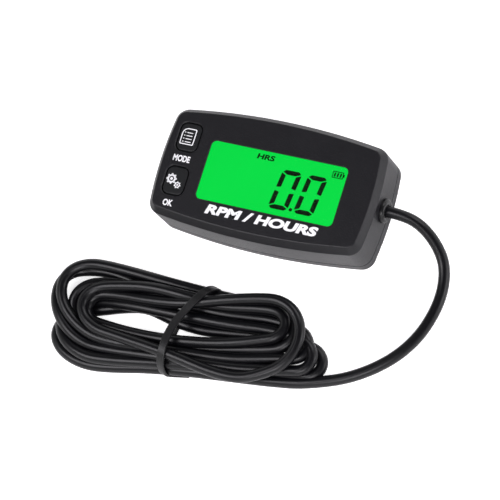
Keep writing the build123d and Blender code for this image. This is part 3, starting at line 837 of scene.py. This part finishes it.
@dataclass
class HankBand:
    """The flat band drawn tight round the hank, with its short end on the floor."""

    width: float = 2.8
    thickness: float = 0.9
    across: Point = (0.97, -0.24, 0.0)
    loop: list[Point] = field(
        default_factory=lambda: [
            (-19.9, -68.8, 0.5),
            (-20.6, -69.7, 3.1),
            (-20.8, -68.8, 7.0),
            (-20.4, -66.7, 10.4),
            (-20.1, -64.2, 12.4),
            (-20.0, -61.5, 12.8),
            (-19.9, -57.4, 12.5),
            (-18.4, -51.6, 12.2),
            (-15.5, -46.5, 12.2),
            (-13.2, -42.4, 12.3),
            (-11.7, -39.6, 11.0),
            (-10.9, -37.6, 7.6),
            (-10.9, -36.9, 3.6),
            (-11.6, -37.4, 0.5),
            (-26.6, -52.5, 0.5),
        ]
    )
    end_length: float = 8.0
    end_lap: float = 1.0
    end_inset: float = 1.2
    end_turn: float = 10.0
    end_share: float = 0.8
    edge_share: float = 0.25

    def _thicken(self, strip: bpy.types.Object, thickness: float) -> None:
        """Gives a flat strip its thickness and soft edges.

        Args:
            strip: The strip's object.
            thickness: How thick it becomes.
        """
        wall = strip.modifiers.new("wall", "SOLIDIFY")
        wall.thickness = thickness * MM
        wall.offset = 0.0
        edge = strip.modifiers.new("edge", "BEVEL")
        edge.width = thickness * self.edge_share * MM
        edge.segments = 2

    def build(self) -> bpy.types.Object:
        """Makes the band as a closed strip that follows the strands.

        Returns:
            The band object.
        """
        shape = bmesh.new()
        ring = [shape.verts.new(point) for point in self.loop]
        for vert, after in zip(ring, ring[1:] + ring[:1]):
            shape.edges.new((vert, after))
        side = Vector(self.across).normalized() * self.width
        strip = bmesh.ops.extrude_edge_only(shape, edges=shape.edges[:])
        moved = [item for item in strip["geom"] if isinstance(item, bmesh.types.BMVert)]
        bmesh.ops.translate(shape, vec=side, verts=moved)
        bmesh.ops.translate(shape, vec=-side / 2, verts=shape.verts)
        mesh = mesh_from(shape, "hank_band")
        band = finished_piece("hank_band", mesh, Body.HOUSING, Finishes.of("tie"))
        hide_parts("hank_tie")
        smooth = band.modifiers.new("smooth", "SUBSURF")
        smooth.levels = smooth.render_levels = 2
        self._thicken(band, self.thickness)
        return band

    def build_end(self) -> bpy.types.Object:
        """Makes the band's short end, which lies on the floor in front of the strands.

        Returns:
            The end's object.
        """
        shape = bmesh.new()
        bmesh.ops.create_grid(shape, x_segments=4, y_segments=1, size=0.5)
        bmesh.ops.scale(shape, vec=(self.end_length, self.width, 1.0), verts=shape.verts)
        start = Vector(self.loop[0])
        middle = (start.x + self.end_length / 2 - self.end_lap, start.y + self.end_inset, self.thickness / 2)
        stand = Matrix.Translation(middle) @ Matrix.Rotation(math.radians(self.end_turn), 4, "Z")
        bmesh.ops.transform(shape, matrix=stand, verts=shape.verts)
        mesh = mesh_from(shape, "band_end")
        end = finished_piece("band_end", mesh, Body.HOUSING, Finishes.of("tie"))
        self._thicken(end, self.thickness * self.end_share)
        return end


# Marks


class Weight(Enum):
    """How heavy a line of lettering is, as a share of its height."""

    BOLD = 0.035
    HEAVY = 0.05


@dataclass
class Lettering:
    """A flat word or number, sized to a box on the part."""

    name: str
    words: str
    centre: Place
    width: float
    height: float
    floor: float
    thickness: float = 0.03
    slant: float = 0.0
    weight: Weight = Weight.BOLD

    def build(self, body: Body, slot: str, material: bpy.types.Material) -> bpy.types.Object:
        """Makes the lettering as a thin raised mesh, fitted to its box from whatever size the font gives.

        Args:
            body: The body it rides on.
            slot: The record's slot of what it lies on; not used.
            material: Its material.

        Returns:
            The lettering object.
        """
        curve = bpy.data.curves.new(self.name, "FONT")
        curve.body = self.words
        curve.offset = self.weight.value
        curve.resolution_u = 4
        curve.extrude = 0.5
        raw = bpy.data.objects.new(self.name + "_raw", curve)
        bpy.context.scene.collection.objects.link(raw)
        bpy.context.view_layer.update()
        mesh = bpy.data.meshes.new_from_object(raw.evaluated_get(bpy.context.evaluated_depsgraph_get()))
        bpy.data.objects.remove(raw)
        bpy.data.curves.remove(curve)
        low = Vector(map(min, *(vert.co for vert in mesh.vertices)))
        high = Vector(map(max, *(vert.co for vert in mesh.vertices)))
        size = high - low
        fit = Matrix.Diagonal((self.width / size.x, self.height / size.y, self.thickness / size.z, 1.0))
        place = Matrix.Translation((*self.centre, self.floor + self.thickness / 2))
        centred = Matrix.Translation(-(low + high) / 2)
        mesh.transform(Matrix.Scale(MM, 4) @ place @ leaning(self.slant) @ fit @ centred)
        mesh.materials.clear()
        return finished_piece(self.name, mesh, body, material)


class FlatMark:
    """Thin printed shapes that are drawn into one bmesh in millimetres and raised together."""

    def __init__(self, name: str, floor: float, thickness: float = 0.03) -> None:
        """Starts an empty mark.

        Args:
            name: The piece's name.
            floor: The height of the surface it lies on.
            thickness: How far it stands off that surface.
        """
        self.name = name
        self.floor = floor
        self.thickness = thickness
        self.shape = bmesh.new()

    def _outline(self, sketch: bmesh.types.BMesh, line: float) -> None:
        """Turns a sketch's one face into a rim, or leaves it whole, and adds it to the mark.

        Args:
            sketch: A bmesh with one flat face, which is freed.
            line: The rim's width, or zero for a filled shape.
        """
        sketch.normal_update()
        if line:
            inner = sketch.faces[:]
            bmesh.ops.inset_region(
                sketch, faces=inner, thickness=line, use_even_offset=True, use_boundary=True
            )
            bmesh.ops.delete(sketch, geom=inner, context="FACES")
        pushed = bmesh.ops.extrude_face_region(sketch, geom=sketch.faces[:])
        top = [item for item in pushed["geom"] if isinstance(item, bmesh.types.BMVert)]
        bmesh.ops.translate(sketch, vec=(0.0, 0.0, self.thickness), verts=top)
        bmesh.ops.translate(sketch, vec=(0.0, 0.0, self.floor), verts=sketch.verts)
        held = bpy.data.meshes.new("held")
        sketch.to_mesh(held)
        self.shape.from_mesh(held)
        bpy.data.meshes.remove(held)
        sketch.free()

    def _stand(
        self, sketch: bmesh.types.BMesh, centre: Place, slant: float = 0.0, line: float = 0.0
    ) -> None:
        """Leans a sketch, moves it to its place and adds it to the mark.

        Args:
            sketch: A bmesh about the origin, which is freed.
            centre: Where its middle goes.
            slant: How far it leans to the right for each unit of height.
            line: The rim's width, or zero for a filled shape.
        """
        place = Matrix.Translation((*centre, 0.0)) @ leaning(slant)
        bmesh.ops.transform(sketch, matrix=place, verts=sketch.verts)
        self._outline(sketch, line)

    def disc(self, centre: Place, radius: float, sides: int = 28) -> None:
        """Draws a disc.

        Args:
            centre: The middle of the disc.
            radius: Its radius.
            sides: How many sides its outline has.
        """
        sketch = bmesh.new()
        bmesh.ops.create_circle(sketch, cap_ends=True, segments=sides, radius=radius)
        self._stand(sketch, centre)

    def wheel(self, centre: Place, radius: float, tooth: float, teeth: int, line: float) -> None:
        """Draws the outline of a toothed wheel.

        Args:
            centre: The middle of the wheel.
            radius: Its radius at the roots of the teeth.
            tooth: How far the teeth stand out.
            teeth: How many teeth there are.
            line: The width of the outline.
        """
        sketch = bmesh.new()
        ring = bmesh.ops.create_circle(sketch, cap_ends=True, segments=4 * teeth, radius=radius)["verts"]
        for index, vert in enumerate(ring):
            if index % 4 < 2:
                vert.co *= 1 + tooth / radius
        self._stand(sketch, centre, line=line)

    def panel(
        self,
        centre: Place,
        width: float,
        height: float,
        corner: float = 0.0,
        line: float = 0.0,
        big_corner: float = 0.0,
        slant: float = 0.0,
    ) -> None:
        """Draws a rectangle, or a frame of that outer size.

        Args:
            centre: The middle of the rectangle.
            width: Its size along X.
            height: Its size along Y.
            corner: The radius of its corners.
            line: The frame's width, or zero for a filled shape.
            big_corner: A larger radius for the upper left corner, or zero.
            slant: How far it leans to the right for each unit of height.
        """
        sketch = bmesh.new()
        bmesh.ops.create_grid(sketch, x_segments=1, y_segments=1, size=0.5)
        bmesh.ops.scale(sketch, vec=(width, height, 1.0), verts=sketch.verts)
        if big_corner:
            round_off = [vert for vert in sketch.verts if vert.co.x < 0 < vert.co.y]
            self._round(sketch, round_off, big_corner)
        if corner:
            out_x, out_y = width / 2 - SAME_SPOT, height / 2 - SAME_SPOT
            square = [vert for vert in sketch.verts if abs(vert.co.x) > out_x and abs(vert.co.y) > out_y]
            self._round(sketch, square, corner)
        self._stand(sketch, centre, slant, line)

    @staticmethod
    def _round(
        sketch: bmesh.types.BMesh, corners: list[bmesh.types.BMVert], radius: float, steps: int = 6
    ) -> None:
        """Rounds some corners of a flat face.

        Args:
            sketch: The bmesh.
            corners: The corner vertices.
            radius: The radius they get.
            steps: How many edges a corner becomes.
        """
        bmesh.ops.bevel(
            sketch, geom=corners, affect="VERTICES", offset=radius, segments=steps, profile=0.5, material=-1
        )

    def zero(
        self,
        centre: Place,
        width: float,
        height: float,
        bar: float,
        split: float,
        gap: float,
        slant: float,
    ) -> None:
        """Draws a zero of six bars, with rounded ends and an open middle.

        Args:
            centre: The middle of the figure.
            width: Its size along X.
            height: Its size along Y.
            bar: How wide its bars are.
            split: The gap between two bars.
            gap: The open length at the middle of each side.
            slant: How far it leans to the right for each unit of height.
        """
        sketch = bmesh.new()
        side, top = width / 2, height / 2
        shoulder, under = top - 0.4 * bar, top - 0.8 * bar
        out_x, top_x, in_x = side - bar / 8, side - 0.6 * bar, side - bar
        cap = [(out_x, shoulder), (top_x, top), (-top_x, top)]
        cap += [(-out_x, shoulder), (-in_x, under), (in_x, under)]
        post_x, foot = side - 0.85 * bar, gap / 2
        post = [(side, shoulder - split), (side, foot), (post_x, foot + 0.15 * bar), (post_x, under - split)]
        for turn_y in (1, -1):
            sketch.faces.new([sketch.verts.new((x, turn_y * y, 0.0)) for x, y in cap])
            for turn_x in (1, -1):
                sketch.faces.new([sketch.verts.new((turn_x * x, turn_y * y, 0.0)) for x, y in post])
        bmesh.ops.recalc_face_normals(sketch, faces=sketch.faces)
        self._round(sketch, sketch.verts[:], bar / 7, steps=3)
        self._stand(sketch, centre, slant)

    def build(self, body: Body, slot: str, material: bpy.types.Material) -> bpy.types.Object:
        """Finishes the mark as one piece.

        Args:
            body: The body it rides on.
            slot: The record's slot of what it lies on; not used.
            material: Its material.

        Returns:
            The mark's object.
        """
        return finished_piece(self.name, mesh_from(self.shape, self.name), body, material)


@dataclass
class DisplayFigures:
    """The dark figures, the unit mark and the battery sign of the display."""

    floor: float = Height.DISPLAY.value
    digit: Place = (7.1, 14.0)
    centres: Place = (7.4, 16.7)
    middle: float = -2.05
    slant: float = 0.11
    bar_width: float = 2.0
    split: float = 0.32
    gap: float = 1.2
    dot: Place = (11.35, -8.2)
    dot_radius: float = 0.6
    battery: Place = (23.9, 6.8)
    battery_size: Place = (4.0, 2.4)
    battery_corner: float = 0.3
    battery_line: float = 0.27
    battery_bar: Place = (0.6, 1.4)
    battery_pitch: float = 1.05
    battery_lean: float = 0.1
    battery_cap: Place = (0.4, 1.0)
    unit: Place = (-2.6, 7.7)
    unit_size: Place = (6.3, 1.9)
    unit_slant: float = 0.12

    def _figures(self) -> None:
        """Makes the two zeros with their point."""
        figures = FlatMark("display_figures", self.floor)
        for centre in self.centres:
            figures.zero(
                (centre, self.middle), *self.digit, self.bar_width, self.split, self.gap, self.slant
            )
        figures.disc(self.dot, self.dot_radius, sides=16)
        figures.build(Body.HOUSING, "lcd", Finishes.of("segment"))

    def _battery_sign(self) -> None:
        """Makes the small battery with its three bars and its cap."""
        x, y = self.battery
        sign = FlatMark("battery_sign", self.floor)
        sign.panel(self.battery, *self.battery_size, self.battery_corner, self.battery_line)
        for step in (-1, 0, 1):
            sign.panel((x + step * self.battery_pitch, y), *self.battery_bar, slant=self.battery_lean)
        cap_x = x + (self.battery_size[0] + self.battery_cap[0]) / 2
        sign.panel((cap_x, y), *self.battery_cap)
        sign.build(Body.HOUSING, "lcd", Finishes.of("legend"))

    def build(self) -> None:
        """Makes the figures, the battery sign and the unit."""
        self._figures()
        self._battery_sign()
        unit = Lettering("unit_sign", "HRS", self.unit, *self.unit_size, self.floor, slant=self.unit_slant)
        unit.build(Body.HOUSING, "lcd", Finishes.of("legend"))


@dataclass
class FaceMarks:
    """The white marks on the buttons and on the face below them and below the window."""

    ink_line: float = 0.33
    page: Place = (-31.55, 8.8)
    page_size: Place = (5.15, 5.85)
    page_corner: float = 0.45
    page_cut: float = 2.1
    rows: int = 4
    row_top: float = 10.15
    row_pitch: float = 1.1
    row_line: float = 0.28
    row_dot: Place = (-33.0, 0.45)
    row_bar: Place = (-31.2, 2.2)
    big_wheel: Place = (-32.7, -6.7)
    small_wheel: Place = (-30.0, -8.5)
    words: list[Lettering] = field(
        default_factory=lambda: [
            Lettering("upper_key_word", "MODE", (-31.35, 0.8), 6.2, 2.3, Height.FACE.value),
            Lettering("lower_key_word", "OK", (-31.3, -15.15), 3.6, 2.3, Height.FACE.value),
            Lettering(
                "units_word",
                "RPM / HOURS",
                (3.3, -14.3),
                40.5,
                3.4,
                Height.FACE.value,
                slant=0.28,
                weight=Weight.HEAVY,
            ),
        ]
    )

    def _list_sign(self) -> None:
        """Makes the page with lines on the upper button."""
        sign = FlatMark("list_sign", Height.CAP.value)
        sign.panel(self.page, *self.page_size, self.page_corner, self.ink_line, big_corner=self.page_cut)
        for row in range(self.rows):
            height = self.row_top - row * self.row_pitch
            for x, width in (self.row_dot, self.row_bar):
                sign.panel((x, height), width, self.row_line)
        sign.build(Body.MENU, "button_rubber", Finishes.of("ink"))

    def _wheel_sign(self) -> None:
        """Makes the two toothed wheels on the lower button, each with a dot in its middle."""
        sign = FlatMark("wheel_sign", Height.CAP.value)
        sign.wheel(self.big_wheel, radius=1.5, tooth=0.42, teeth=8, line=0.6)
        sign.disc(self.big_wheel, 0.48)
        sign.wheel(self.small_wheel, radius=0.95, tooth=0.28, teeth=7, line=0.34)
        sign.disc(self.small_wheel, 0.32, sides=16)
        sign.build(Body.SET, "button_rubber", Finishes.of("ink"))

    def build(self) -> None:
        """Makes both signs and the three words."""
        self._list_sign()
        self._wheel_sign()
        for word in self.words:
            word.build(Body.HOUSING, "housing", Finishes.of("ink"))


def main() -> None:
    """Builds the camera, the lead, the marks and the studio in order."""
    logging.basicConfig(level=logging.INFO, format="%(name)s: %(message)s")
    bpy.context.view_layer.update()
    StudioCamera().build()
    lead = PickupLead()
    cord = lead.build()
    strap = HankBand()
    strap.build()
    strap.build_end()
    Finishes.dress_solids(frame["nodes"])
    DisplayFigures().build()
    FaceMarks().build()
    Studio().build()


if __name__ == "__main__":
    main()
